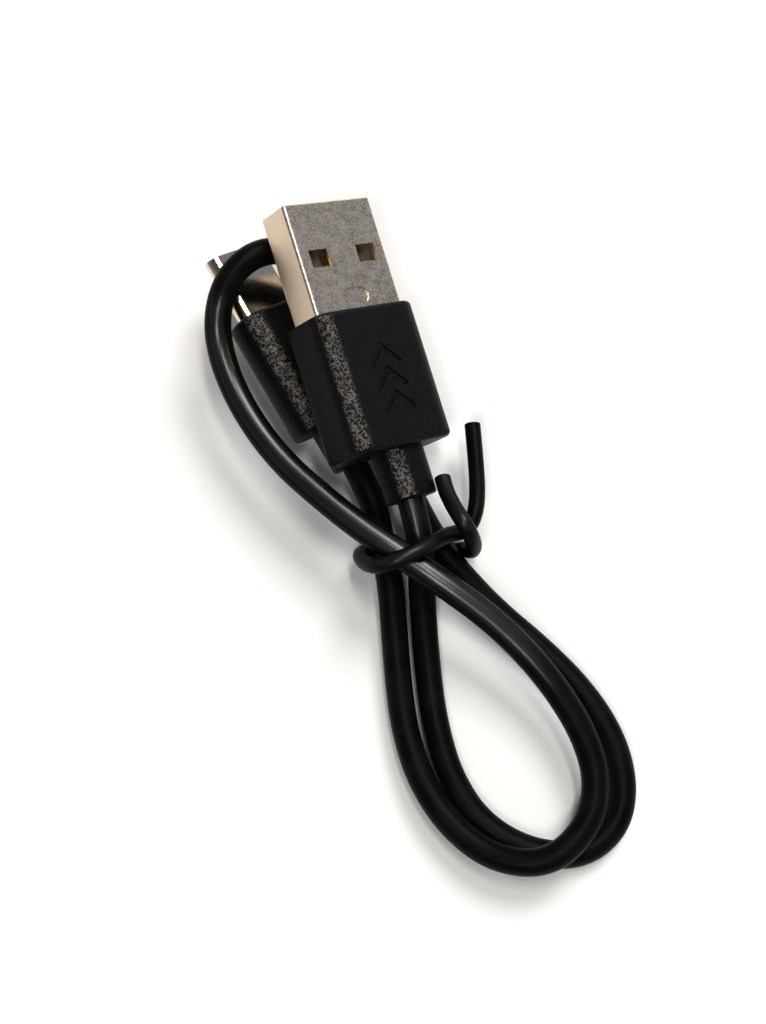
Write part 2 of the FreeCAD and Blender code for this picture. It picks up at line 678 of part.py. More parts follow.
bar("usb_c", "board", slot_width, "usb_c_board_sheet", ("0", "0"), C_BOARD_REAR, "usb_c_board_length")
chip_height = "usb_c_board_sheet / 2 + fit_clearance + usb_c_chip_height / 2"
chip_rear = C_BOARD_FRONT + " - usb_c_chip_setback"
middle = ("0", chip_height)
bar("usb_c", "resistor", "usb_c_chip_length", "usb_c_chip_height", middle, chip_rear, "usb_c_chip_width")

board_front = c_shell_rear + size("usb_c_board_overlap")
board_rear = board_front - size("usb_c_board_length")
c_seat = size("usb_c_cord_seat")
joint_height = board_half + gap + lead / 2
joint_x = size("usb_c_lead_spacing") / 2
joint_end = board_rear + size("usb_c_lead_overlap")
C_LEADS = [
    ("red_lead", 1, 1),
    ("white_lead", 1, -1),
    ("green_lead", -1, -1),
    ("black_lead", -1, 1),
]
core_width = size("usb_c_shell_width") - 2 * size("usb_c_core_side")
core_height = size("usb_c_shell_height") + 2 * size("usb_c_core_top")
core = block(core_width, core_height, c_seat, c_shell_rear - gap)
for name, side, level in C_LEADS:
    route = [
        (side * half_step, c_seat, level * half_step),
        (side * half_step, c_seat + size("lead_straight"), level * half_step),
        (side * joint_x, board_rear - gap, level * joint_height),
        (side * joint_x, joint_end, level * joint_height),
    ]
    wire = bent_wire(route)
    keep("usb_c_" + name, tube(wire, lead), PLACES["usb_c"])
    core = core.cut(tube(wire, lead + 2 * gap))
    path = block(lead, joint_height - board_half, board_rear - gap, joint_end + gap,
                 (side * joint_x, level * (joint_height + board_half) / 2))
    core = core.cut(path)
core = core.cut(block(mouth_width, 2 * (board_half + gap), board_rear - gap, c_shell_rear))
chip_top = board_half + 2 * gap + size("usb_c_chip_height")
chip_rear = board_front - size("usb_c_chip_setback")
chip_width = size("usb_c_chip_length") + 2 * gap
chip_front = chip_rear + size("usb_c_chip_width") + gap
core = core.cut(block(chip_width, chip_top, chip_rear - gap, chip_front, (0.0, chip_top / 2)))
tail_top = board_half + 2 * gap + size("usb_c_contact_sheet")
core = core.cut(block(mouth_width, 2 * tail_top, strip_rear - gap, c_shell_rear))
keep("usb_c_inner_mould", core, PLACES["usb_c"])

# Cord and wire tie


def on_axis(plug, across, along):
    """Point on a plug's cord axis, counted from the exit towards the tip."""
    point = PLACES[plug].multVec(FreeCAD.Vector(across, along, 0))
    return (point.x, point.y, point.z)


cord_points = [on_axis("usb_a", shift, seat), on_axis("usb_a", shift, -USB_A_CORD_LEAD)]
cord_points += CORD_ROUTE
cord_points += [on_axis("usb_c", 0, -USB_C_CORD_LEAD), on_axis("usb_c", 0, c_seat)]
cord_wire = bent_wire(cord_points, "cord")
keep("cord", tube(cord_wire, size("cord_diameter")))
print("cord length %.1f" % cord_wire.Length)

tie_wire = bent_wire(TIE_ROUTE, "tie")
core_size = size("tie_core_diameter")
keep("tie_coat", tube(tie_wire, size("tie_diameter"), core_size + 2 * gap))
keep("tie_core", tube(tie_wire, core_size))
print("tie length %.1f" % tie_wire.Length)

doc.recompute()
for item in doc.Objects:
    if "Invalid" in item.State or "Error" in item.State:
        raise ValueError("%s is %s" % (item.Label, item.State))
os.makedirs("parts", exist_ok=True)
for node in NODES:
    if node.Shape.isNull() or not node.Shape.isValid():
        raise ValueError("%s has no valid shape" % node.Label)
    node.Shape.exportStep("parts/%s.step" % node.Label)
print("%d nodes" % len(NODES))
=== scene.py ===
"""Looks of a short charging cable: two moulded plugs on a black cord, tied as a hank.

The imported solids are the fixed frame.  The cord and the wire tie are drawn as smooth
curves along their routes, every other piece keeps its solid, and all of them get
procedural finishes.  Lengths are in metres, in the same frame as the solids.
"""

import json
import logging
import math
from dataclasses import dataclass
from enum import Enum
from typing import Dict, List, Sequence, Tuple, Union

import bpy
from mathutils import Matrix, Quaternion, Vector

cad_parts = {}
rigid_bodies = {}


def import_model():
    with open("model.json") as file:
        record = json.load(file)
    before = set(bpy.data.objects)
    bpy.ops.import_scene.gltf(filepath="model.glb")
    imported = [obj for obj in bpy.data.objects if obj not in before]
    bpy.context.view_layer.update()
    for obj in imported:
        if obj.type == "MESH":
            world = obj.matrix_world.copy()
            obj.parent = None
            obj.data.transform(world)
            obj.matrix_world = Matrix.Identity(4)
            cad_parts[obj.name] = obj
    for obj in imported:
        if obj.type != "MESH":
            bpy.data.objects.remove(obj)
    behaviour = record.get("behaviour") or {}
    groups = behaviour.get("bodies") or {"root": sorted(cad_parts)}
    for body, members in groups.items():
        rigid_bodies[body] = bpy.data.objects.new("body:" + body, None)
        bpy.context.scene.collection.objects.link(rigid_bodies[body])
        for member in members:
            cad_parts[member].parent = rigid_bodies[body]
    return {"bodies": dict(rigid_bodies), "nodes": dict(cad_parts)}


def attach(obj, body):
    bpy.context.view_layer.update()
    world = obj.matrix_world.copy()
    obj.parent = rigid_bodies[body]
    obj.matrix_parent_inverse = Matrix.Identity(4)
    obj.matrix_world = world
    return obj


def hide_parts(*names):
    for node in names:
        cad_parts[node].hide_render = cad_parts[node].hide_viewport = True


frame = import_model()

Colour = Tuple[float, float, float]
Point = Tuple[float, float, float]
Range = Tuple[float, float]
Node = bpy.types.Node
Socket = bpy.types.NodeSocket
Term = Union[float, Socket]
LOG = logging.getLogger("cable")


class Space(Enum):
    """Coordinates that a pattern can be laid out in."""

    OBJECT = "Object"
    FACING = "Normal"
    DIRECTION = "Generated"


class ShaderTree:
    """Short hand for building one node tree, of a material or of a node group."""

    def __init__(self, tree: bpy.types.NodeTree) -> None:
        """Start on an empty tree.

        Args:
            tree: The node tree to fill.
        """
        self.tree = tree
        self.tree.nodes.clear()

    def add(self, kind: str, **settings: object) -> Node:
        """Add a node and set its properties and unlinked inputs.

        Args:
            kind: Blender's name of the node type.
            settings: Properties by name; a name that is no property is an input.

        Returns:
            The new node.
        """
        node = self.tree.nodes.new(kind)
        for name, value in settings.items():
            if hasattr(node, name):
                setattr(node, name, value)
            else:
                node.inputs[name.replace("_", " ")].default_value = value
        return node

    def join(self, source: Socket, target: Socket) -> None:
        """Link an output socket to an input socket."""
        self.tree.links.new(source, target)

    def feed(self, term: Term, target: Socket) -> None:
        """Set an input socket to a number, or link it to an output socket."""
        if isinstance(term, (int, float)):
            target.default_value = term
        else:
            self.join(term, target)

    def coordinates(self, space: Space) -> Socket:
        """Socket with the coordinates of a space."""
        return self.add("ShaderNodeTexCoord").outputs[space.value]

    def upward(self, space: Space) -> Socket:
        """Socket with the Z part of the coordinates of a space."""
        split = self.add("ShaderNodeSeparateXYZ")
        self.join(self.coordinates(space), split.inputs["Vector"])
        return split.outputs["Z"]

    def maths(self, operation: str, *terms: Term) -> Socket:
        """Combine values.

        Args:
            operation: Blender's name of the operation.
            terms: Numbers and sockets, in the order of the operation.

        Returns:
            The result.
        """
        node = self.add("ShaderNodeMath", operation=operation)
        for slot, term in zip(node.inputs, terms):
            self.feed(term, slot)
        return node.outputs["Value"]

    def noise(self, space: Socket, size: Socket, **settings: float) -> Socket:
        """Noise value.

        Args:
            space: Coordinates to lay it out in.
            size: Socket with its scale.
            settings: Other inputs of the noise, by name.

        Returns:
            A value around 0.5.
        """
        node = self.add("ShaderNodeTexNoise", **settings)
        self.join(space, node.inputs["Vector"])
        self.join(size, node.inputs["Scale"])
        return node.outputs["Fac"]

    def window(self, value: Socket, low: Term, high: Term) -> Socket:
        """Stretch the part of a value between two limits to 0..1.

        Args:
            value: The value.
            low: Where the result is 0.
            high: Where the result is 1.

        Returns:
            The stretched value, clamped.
        """
        node = self.add("ShaderNodeMapRange", clamp=True, interpolation_type="SMOOTHSTEP")
        self.join(value, node.inputs["Value"])
        self.feed(low, node.inputs["From Min"])
        self.feed(high, node.inputs["From Max"])
        return node.outputs["Result"]

    def scaled(self, value: Socket, low: float, high: float) -> Socket:
        """Map a value from 0..1 to another range.

        Args:
            value: Socket that varies from 0 to 1.
            low: Result at 0.
            high: Result at 1.

        Returns:
            The mapped socket.
        """
        node = self.add("ShaderNodeMapRange", clamp=True)
        self.join(value, node.inputs["Value"])
        node.inputs["To Min"].default_value = low
        node.inputs["To Max"].default_value = high
        return node.outputs["Result"]

    def ramp(self, value: Socket, stops: Sequence[Tuple[float, Colour]]) -> Socket:
        """Turn a value into a colour.

        Args:
            value: Socket that varies from 0 to 1.
            stops: Places and colours of the ramp.

        Returns:
            The colour socket.
        """
        node = self.add("ShaderNodeValToRGB")
        elements = node.color_ramp.elements
        while len(elements) < len(stops):
            elements.new(0.5)
        for element, (place, colour) in zip(elements, stops):
            element.position = place
            element.color = (*colour, 1.0)
        self.join(value, node.inputs["Fac"])
        return node.outputs["Color"]

    def blend(self, mask: Socket, outside: Colour, inside: Socket) -> Socket:
        """Show one colour inside a mask and another outside it.

        Args:
            mask: Socket that is 1 inside.
            outside: Plain colour outside.
            inside: Socket with the colour inside.

        Returns:
            The colour socket.
        """
        node = self.add("ShaderNodeMix", data_type="RGBA")
        slots = {slot.identifier: slot for slot in (*node.inputs, *node.outputs)}
        self.join(mask, slots["Factor_Float"])
        slots["A_Color"].default_value = (*outside, 1.0)
        self.join(inside, slots["B_Color"])
        return slots["Result_Color"]


class Effects:
    """Surface effects that several finishes share, each a node group built once."""

    NOISE_MIDDLE = 0.5
    CLOUD_RANGE: Range = (0.3, 0.7)
    FLECK_RANGE: Range = (0.45, 0.7)
    CREST_WIDTH = 0.11
    FINE_GRAIN = 2.6
    FINE_SHARE = 0.45
    SCRATCH_TURNS = (0.35, 1.25, 2.4)
    SCRATCH_LEAN = 0.7
    SCRATCH_STRETCH = 9.0
    SCRATCH_RANGE: Range = (0.6, 0.7)

    def __init__(self) -> None:
        """Build every group."""
        self.mottle = self._mottle()
        self.grain = self._grain()
        self.scratches = self._scratches()
        self.upper_side = self._upper_side()

    @staticmethod
    def _start(
        name: str, inputs: Dict[str, float], outputs: Sequence[str]
    ) -> Tuple[ShaderTree, Node, Node]:
        """Make a group with value sockets.

        Args:
            name: Name of the group.
            inputs: Input names with their usual values.
            outputs: Output names.

        Returns:
            The tree with its input and output nodes.
        """
        group = bpy.data.node_groups.new(name, "ShaderNodeTree")
        for label, value in inputs.items():
            socket = group.interface.new_socket(name=label, in_out="INPUT", socket_type="NodeSocketFloat")
            socket.default_value = value
        for label in outputs:
            group.interface.new_socket(name=label, in_out="OUTPUT", socket_type="NodeSocketFloat")
        tree = ShaderTree(group)
        return tree, tree.add("NodeGroupInput"), tree.add("NodeGroupOutput")

    def _mottle(self) -> bpy.types.NodeTree:
        """Cloudy variation, as of handled plastic or thin plating.

        Returns:
            A group with a broad cloud value and a fine fleck mask.
        """
        inputs = {"Size": 300.0, "Fleck Size": 4000.0}
        tree, source, target = self._start("mottle", inputs, ["Cloud", "Fleck"])
        space = tree.coordinates(Space.OBJECT)
        cloud = tree.noise(space, source.outputs["Size"], Detail=5.0, Roughness=0.6)
        fleck = tree.noise(space, source.outputs["Fleck Size"], Detail=2.0)
        tree.join(tree.window(cloud, *self.CLOUD_RANGE), target.inputs["Cloud"])
        tree.join(tree.window(fleck, *self.FLECK_RANGE), target.inputs["Fleck"])
        return tree.tree

    def _grain(self) -> bpy.types.NodeTree:
        """Worm-like grain of a spark-eroded mould.

        Returns:
            A group with the grain's height and the mask of its crests.
        """
        tree, source, target = self._start("moulded_grain", {"Size": 2000.0}, ["Height", "Crest"])
        space = tree.coordinates(Space.OBJECT)
        field = tree.noise(space, source.outputs["Size"], Detail=1.5, Roughness=0.45, Distortion=0.7)
        slope = tree.maths("ABSOLUTE", tree.maths("SUBTRACT", field, self.NOISE_MIDDLE))
        crest = tree.maths("SUBTRACT", 1.0, tree.window(slope, 0.0, self.CREST_WIDTH))
        fine_size = tree.maths("MULTIPLY", source.outputs["Size"], self.FINE_GRAIN)
        fine = tree.noise(space, fine_size, Detail=2.0)
        tree.join(crest, target.inputs["Crest"])
        tree.join(tree.maths("MULTIPLY_ADD", fine, self.FINE_SHARE, crest), target.inputs["Height"])
        return tree.tree

    def _scratches(self) -> bpy.types.NodeTree:
        """Short fine scratches in crossing directions.

        Returns:
            A group with the scratch mask.
        """
        tree, source, target = self._start("fine_scratches", {"Size": 900.0, "Amount": 0.5}, ["Mask"])
        space = tree.coordinates(Space.OBJECT)
        masks = []
        for turn in self.SCRATCH_TURNS:
            spin = tree.add("ShaderNodeMapping")
            spin.inputs["Rotation"].default_value = (turn, turn * self.SCRATCH_LEAN, turn)
            spin.inputs["Scale"].default_value = (1.0, self.SCRATCH_STRETCH, self.SCRATCH_STRETCH)
            tree.join(space, spin.inputs["Vector"])
            line = tree.noise(spin.outputs["Vector"], source.outputs["Size"], Detail=1.0)
            masks.append(tree.window(line, *self.SCRATCH_RANGE))
        widest = masks[0]
        for mask in masks[1:]:
            widest = tree.maths("MAXIMUM", widest, mask)
        tree.join(tree.maths("MULTIPLY", widest, source.outputs["Amount"]), target.inputs["Mask"])
        return tree.tree

    def _upper_side(self) -> bpy.types.NodeTree:
        """Sides of a piece that face up: where handling polishes the cord, where the mouldings get painted
        highlights, and the shell tops that are kept off the painted side reflection.

        Returns:
            A group with the mask, from how steeply a side faces up.
        """
        tree, source, target = self._start("upper_side", {"Low": 0.7, "High": 0.9}, ["Mask"])
        facing = tree.upward(Space.FACING)
        mask = tree.window(facing, source.outputs["Low"], source.outputs["High"])
        tree.join(mask, target.inputs["Mask"])
        return tree.tree


@dataclass(frozen=True)
class Finish:
    """Base of every finish: a named material around one principled shader."""

    name: str

    def start(self) -> Tuple[bpy.types.Material, ShaderTree, Node]:
        """Make the material with its shader and output.

        Returns:
            The material, its tree and its principled shader.
        """
        material = bpy.data.materials.new(self.name)
        material.use_nodes = True
        tree = ShaderTree(material.node_tree)
        shader = tree.add("ShaderNodeBsdfPrincipled")
        output = tree.add("ShaderNodeOutputMaterial")
        tree.join(shader.outputs["BSDF"], output.inputs["Surface"])
        return material, tree, shader

    @staticmethod
    def place(tree: ShaderTree, effect: bpy.types.NodeTree, **values: float) -> Node:
        """Put a shared effect into a material with its own values.

        Args:
            tree: The material's tree.
            effect: The node group.
            values: Input values by socket name.

        Returns:
            The group node.
        """
        node = tree.add("ShaderNodeGroup", node_tree=effect)
        for label, value in values.items():
            node.inputs[label.replace("_", " ")].default_value = value
        return node

    def upper_mask(self, tree: ShaderTree, effects: Effects, limits: Range) -> Socket:
        """Mask of the sides that face up.

        Args:
            tree: The material's tree.
            effects: The shared node groups.
            limits: How far up a side faces where the mask is 0 and where it is 1.

        Returns:
            The mask.
        """
        low, high = limits
        return self.place(tree, effects.upper_side, Low=low, High=high).outputs["Mask"]

    @staticmethod
    def emboss(tree: ShaderTree, shader: Node, height: Socket, strength: float, depth: float) -> None:
        """Bump the shader's normal by a height.

        Args:
            tree: The material's tree.
            shader: The principled shader.
            height: Height from 0 to 1.
            strength: Share of the bump that shows.
            depth: Depth of the bump in metres.
        """
        bump = tree.add("ShaderNodeBump", Strength=strength, Distance=depth)
        tree.join(height, bump.inputs["Height"])
        tree.join(bump.outputs["Normal"], shader.inputs["Normal"])


@dataclass(frozen=True)
class MouldedFinish(Finish):
    """Matte plastic from a grained mould, with painted highlights: the grain's crests on the sides that
    face up get a lighter colour where light would catch them.
    """

    colour: Colour = (0.0018, 0.0018, 0.0018)
    # painted highlight colour for the crests of the up-facing sides
    painted_glint_colour: Colour = (0.14, 0.13, 0.115)
    gloss: float = 0.12
    grain_size: float = 2500.0
    grain_depth: float = 0.000018
    roughness: Range = (0.46, 0.13)
    painted_glint_side: Range = (0.8, 0.97)
    painted_glint_from: float = 0.3

    def build(self, effects: Effects) -> bpy.types.Material:
        """Build the material.

        Args:
            effects: The shared node groups.

        Returns:
            The material.
        """
        material, tree, shader = self.start()
        shader.inputs["Specular IOR Level"].default_value = self.gloss
        grain = self.place(tree, effects.grain, Size=self.grain_size)
        upper = self.upper_mask(tree, effects, self.painted_glint_side)
        polish_and_painted_glint = tree.maths("MULTIPLY", upper, grain.outputs["Crest"])
        # painted highlight: crests on the up-facing sides are coloured lighter in place of glints; the
        # same mask also lowers the roughness there
        colour = tree.ramp(polish_and_painted_glint, ((self.painted_glint_from, self.colour), (1.0, self.painted_glint_colour)))
        tree.join(colour, shader.inputs["Base Color"])
        tree.join(tree.scaled(polish_and_painted_glint, *self.roughness), shader.inputs["Roughness"])
        self.emboss(tree, shader, grain.outputs["Height"], 1.0, self.grain_depth)
        return material


@dataclass(frozen=True)
class JacketFinish(Finish):
    """Dull extruded plastic, polished by handling over a range of heights above the table."""

    colour: Colour = (0.0022, 0.0022, 0.0022)
    worn_colour: Colour = (0.0045, 0.0043, 0.004)
    gloss: float = 0.045
    roughness: Range = (0.38, 0.45)
    rubbed: Tuple[float, float, float, float] = (0.0070, 0.0085, 0.0122, 0.0132)
    polish: float = 1.0
    polished_side: Range = (0.68, 0.84)
    polish_roughness: float = 0.27
    cloud_size: float = 260.0
    cloud_stops: Range = (0.2, 0.9)
    ripple: float = 0.00003
    ripple_share: float = 0.3

    def build(self, effects: Effects) -> bpy.types.Material:
        """Build the material.

        Args:
            effects: The shared node groups.

        Returns:
            The material.
        """
        material, tree, shader = self.start()
        shader.inputs["Specular IOR Level"].default_value = self.gloss
        cloud = self.place(tree, effects.mottle, Size=self.cloud_size).outputs["Cloud"]
        colour = tree.ramp(cloud, tuple(zip(self.cloud_stops, (self.colour, self.worn_colour))))
        tree.join(colour, shader.inputs["Base Color"])
        tree.join(tree.scaled(cloud, *self.roughness), shader.inputs["Roughness"])
        height = tree.upward(Space.OBJECT)
        above = tree.window(height, *self.rubbed[:2])
        below = tree.maths("SUBTRACT", 1.0, tree.window(height, *self.rubbed[2:]))
        upper = self.upper_mask(tree, effects, self.polished_side)
        polish_and_painted_glint = tree.maths("MULTIPLY", tree.maths("MULTIPLY", above, below), upper)
        tree.join(tree.maths("MULTIPLY", polish_and_painted_glint, self.polish), shader.inputs["Coat Weight"])
        shader.inputs["Coat Roughness"].default_value = self.polish_roughness
        self.emboss(tree, shader, cloud, self.ripple_share, self.ripple)
        return material


@dataclass(frozen=True)
class PlatedFinish(Finish):
    """Plated sheet steel, clouded and finely scratched; the sides that don't face up get a lighter, warmer
    colour, a painted reflection of the white table.
    """

    dull: Colour = (0.26, 0.236, 0.21)
    bright: Colour = (0.92, 0.83, 0.71)
    # painted reflection of the table on the shell's sides
    painted_flank_reflection: Colour = (0.84, 0.68, 0.5)
    roughness: Range = (0.42, 0.28)
    top_side: Range = (0.6, 0.78)
    cloud_size: float = 900.0
    cloud_share: float = 0.5
    fleck_size: float = 4200.0
    fleck_share: float = 0.45
    scratch_size: float = 700.0
    scratch_amount: float = 0.5
    mark_depth: float = 0.00001
    mark_share: float = 0.25

    def build(self, effects: Effects) -> bpy.types.Material:
        """Build the material.

        Args:
            effects: The shared node groups.

        Returns:
            The material.
        """
        material, tree, shader = self.start()
        shader.inputs["Metallic"].default_value = 1.0
        mottle = self.place(tree, effects.mottle, Size=self.cloud_size, Fleck_Size=self.fleck_size)
        scratches = self.place(tree, effects.scratches, Size=self.scratch_size, Amount=self.scratch_amount)
        marks = scratches.outputs["Mask"]
        for layer, share in (("Fleck", self.fleck_share), ("Cloud", self.cloud_share)):
            marks = tree.maths("MULTIPLY_ADD", mottle.outputs[layer], share, marks)
        top = self.upper_mask(tree, effects, self.top_side)
        top_colour = tree.ramp(marks, ((0.0, self.dull), (1.0, self.bright)))
        # painted reflection: sides that don't face up take the lighter, warmer flank colour instead of the
        # mottled top colour
        tree.join(tree.blend(top, self.painted_flank_reflection, top_colour), shader.inputs["Base Color"])
        tree.join(tree.scaled(marks, *self.roughness), shader.inputs["Roughness"])
        self.emboss(tree, shader, marks, self.mark_share, self.mark_depth)
        return material


@dataclass(frozen=True)
class PlainFinish(Finish):
    """Small inner piece of one colour, faintly clouded."""

    colour: Colour = (0.5, 0.5, 0.5)
    shade: float = 0.8
    metallic: float = 0.0
    roughness: Range = (0.35, 0.5)
    cloud_size: float = 900.0
    cloud_stops: Range = (0.1, 0.9)

    def build(self, effects: Effects) -> bpy.types.Material:
        """Build the material.

        Args:
            effects: The shared node groups.

        Returns:
            The material.
        """
        material, tree, shader = self.start()
        shader.inputs["Metallic"].default_value = self.metallic
        cloud = self.place(tree, effects.mottle, Size=self.cloud_size).outputs["Cloud"]
        shaded = tuple(self.shade * part for part in self.colour)
        colour = tree.ramp(cloud, tuple(zip(self.cloud_stops, (shaded, self.colour))))
        tree.join(colour, shader.inputs["Base Color"])
        tree.join(tree.scaled(cloud, *self.roughness), shader.inputs["Roughness"])
        return material


MOULDING = MouldedFinish("grained_moulding")
JACKET = JacketFinish("cord_jacket")
TIE_COAT = JacketFinish("tie_coat", polish=0.5, polish_roughness=0.36)
PLATED = PlatedFinish("plated_shell")
POLISHED = PlatedFinish(
    "polished_shell",
    dull=(0.55, 0.49, 0.4),
    bright=(0.72, 0.65, 0.55),
    roughness=(0.18, 0.1),
    scratch_amount=0.25,
)
GOLD = PlainFinish("gold_contact", colour=(0.80, 0.55, 0.22), metallic=1.0, roughness=(0.2, 0.32))
STEEL = PlainFinish("spring_steel", colour=(0.6, 0.58, 0.55), metallic=1.0, roughness=(0.22, 0.35))
INSULATOR = PlainFinish("insulator", colour=(0.17, 0.14, 0.095))
INNER = PlainFinish("inner_mould", colour=(0.72, 0.7, 0.64))
BOARD = PlainFinish("board_mask", colour=(0.02, 0.13, 0.05), roughness=(0.2, 0.3))
CHIP = PlainFinish("resistor_body", colour=(0.03, 0.03, 0.03))
RED = PlainFinish("red_insulation", colour=(0.5, 0.02, 0.02))
WHITE = PlainFinish("white_insulation", colour=(0.75, 0.75, 0.72))
GREEN = PlainFinish("green_insulation", colour=(0.02, 0.28, 0.06))
BLACK = PlainFinish("black_insulation", colour=(0.012, 0.012, 0.012))


class Workshop:
    """Builds each finish once and puts it on pieces."""

    def __init__(self) -> None:
        """Build the shared effects."""
        self.effects = Effects()
        self.made: Dict[str, bpy.types.Material] = {}

    def material(self, finish: Finish) -> bpy.types.Material:
        """Material of a finish, built the first time it is asked for."""
        if finish.name not in self.made:
            self.made[finish.name] = finish.build(self.effects)
        return self.made[finish.name]

    def coat(self, piece: bpy.types.Object, finish: Finish) -> None:
        """Give a piece one finish all over.

        Args:
            piece: The object to dress.
            finish: What it is made of.
        """
        piece.data.materials.clear()
        piece.data.materials.append(self.material(finish))
        LOG.info("%s: %s", piece.name, finish.name)


@dataclass
class Plug:
    """One connector: solids that share a name prefix, and what each is made of."""

    prefix: str
    finishes: Dict[str, Finish]

    def nodes(self) -> List[bpy.types.Object]:
        """Objects of the plug, in the order of their finishes."""
        return [frame["nodes"][self.prefix + name] for name in self.finishes]

    def dress(self, workshop: Workshop) -> None:
        """Finish every solid of the plug.

        Args:
            workshop: Source of the materials.
        """
        for node, finish in zip(self.nodes(), self.finishes.values()):
            workshop.coat(node, finish)


LEADS = {"red_lead": RED, "white_lead": WHITE, "green_lead": GREEN, "black_lead": BLACK}
FLAT_PLUG = Plug(
    "usb_a_",
    {
        "overmould": MOULDING,
        "shell": PLATED,
        "tongue": INSULATOR,
        "power_contact": GOLD,
        "data_minus_contact": GOLD,
        "data_plus_contact": GOLD,
        "ground_contact": GOLD,
        "inner_mould": INNER,
        **LEADS,
    },
)
OVAL_PLUG = Plug(
    "usb_c_",
    {
        "overmould": MOULDING,
        "shell": POLISHED,
        "housing": INSULATOR,
        "upper_contacts": GOLD,
        "lower_contacts": GOLD,
        "latch": STEEL,
        "board": BOARD,
        "resistor": CHIP,
        "inner_mould": INNER,
        **LEADS,
    },
)


@dataclass
class RoundRun:
    """Round piece of one thickness along a smooth line."""

    name: str
    diameter: float
    route: Sequence[Point]
    finish: Finish
    steps: int = 10
    bevel_steps: int = 8

    def draw(self, workshop: Workshop) -> bpy.types.Object:
        """Draw the piece as one smooth curve through its route.

        Args:
            workshop: Source of the material.

        Returns:
            The curve object, riding on the frame.
        """
        curve = bpy.data.curves.new(self.name, "CURVE")
        curve.dimensions = "3D"
        curve.resolution_u = self.steps
        curve.bevel_depth = 1.0
        curve.bevel_resolution = self.bevel_steps
        curve.use_fill_caps = True
        spline = curve.splines.new("NURBS")
        spline.points.add(len(self.route) - 1)
        for point, place in zip(spline.points, self.route):
            point.co = (*place, 1.0)
            point.radius = self.diameter / 2
        spline.order_u = 3
        spline.use_endpoint_u = True
        piece = bpy.data.objects.new(self.name, curve)
        bpy.context.scene.collection.objects.link(piece)
        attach(piece, "root")
        workshop.coat(piece, self.finish)
        return piece


@dataclass(frozen=True)
class CordEnd:
    """Where the cord enters a plug: the plug's own frame and the line of its relief."""

    place: Point
    yaw: float
    pitch: float
    roll: float
    shift: float = 0.0

    def point(self, along: float) -> Point:
        """Point on the line of the relief.

        Args:
            along: Distance from the rear of the relief towards the plug's tip.

        Returns:
            The point in the frame of the solids.
        """
        turn = Matrix.Identity(3)
        for angle, axis in ((self.yaw, "Z"), (self.pitch, "X"), (self.roll, "Y")):
            turn = turn @ Matrix.Rotation(math.radians(angle), 3, axis)
        return tuple(Vector(self.place) + turn @ Vector((self.shift, along, 0.0)))


FLAT_END = CordEnd((0.00885, -0.01658, 0.00783), 17.5, 10.0, 33.7, 0.0008)
OVAL_END = CordEnd((0.0032, -0.0111, 0.0035), 30.5, 8.0, 32.6)
CORD_ROUTE: Sequence[Point] = (
    FLAT_END.point(0.0083), FLAT_END.point(-0.0038),
    (0.0105, -0.0246, 0.0041), (0.0108, -0.0289, 0.0020), (0.0112, -0.0342, 0.0015),
    (0.0119, -0.0399, 0.0015), (0.0135, -0.0458, 0.0015), (0.0166, -0.0507, 0.0015),
    (0.0216, -0.0538, 0.0015), (0.0273, -0.0544, 0.0015), (0.0314, -0.0514, 0.0015),
    (0.0325, -0.0468, 0.0015), (0.0313, -0.0415, 0.0015), (0.0281, -0.0364, 0.0015),
    (0.0237, -0.0319, 0.0016), (0.0188, -0.0278, 0.0020), (0.0148, -0.0237, 0.0030),
    (0.0123, -0.0205, 0.0038), (0.0102, -0.0164, 0.0028), (0.0083, -0.0116, 0.0016),
    (0.0065, -0.0059, 0.0015), (0.0049, -0.0001, 0.0016), (0.0025, 0.0032, 0.0024),
    (0.0014, 0.0074, 0.0044), (-0.0003, 0.0100, 0.0069), (-0.0027, 0.0114, 0.0094),
    (-0.0055, 0.0113, 0.0115), (-0.0081, 0.0101, 0.0127), (-0.0104, 0.0079, 0.0127),
    (-0.0118, 0.0051, 0.0113), (-0.0121, 0.0017, 0.0094), (-0.0108, -0.0028, 0.0083),
    (-0.0082, -0.0077, 0.0080), (-0.0047, -0.0123, 0.0081), (-0.0006, -0.0161, 0.0084),
    (0.0037, -0.0197, 0.0087), (0.0082, -0.0228, 0.0089), (0.0124, -0.0257, 0.0086),
    (0.0172, -0.0290, 0.0076), (0.0215, -0.0328, 0.0065), (0.0252, -0.0372, 0.0056),
    (0.0280, -0.0420, 0.0050), (0.0292, -0.0469, 0.0048), (0.0279, -0.0516, 0.0048),
    (0.0237, -0.0553, 0.0047), (0.0180, -0.0547, 0.0037), (0.0135, -0.0512, 0.0030),
    (0.0103, -0.0463, 0.0026), (0.0086, -0.0407, 0.0022), (0.0079, -0.0348, 0.0022),
    (0.0075, -0.0293, 0.0026), (0.0071, -0.0246, 0.0037), (0.0063, -0.0210, 0.0040),
    OVAL_END.point(-0.0036), OVAL_END.point(0.007),
)
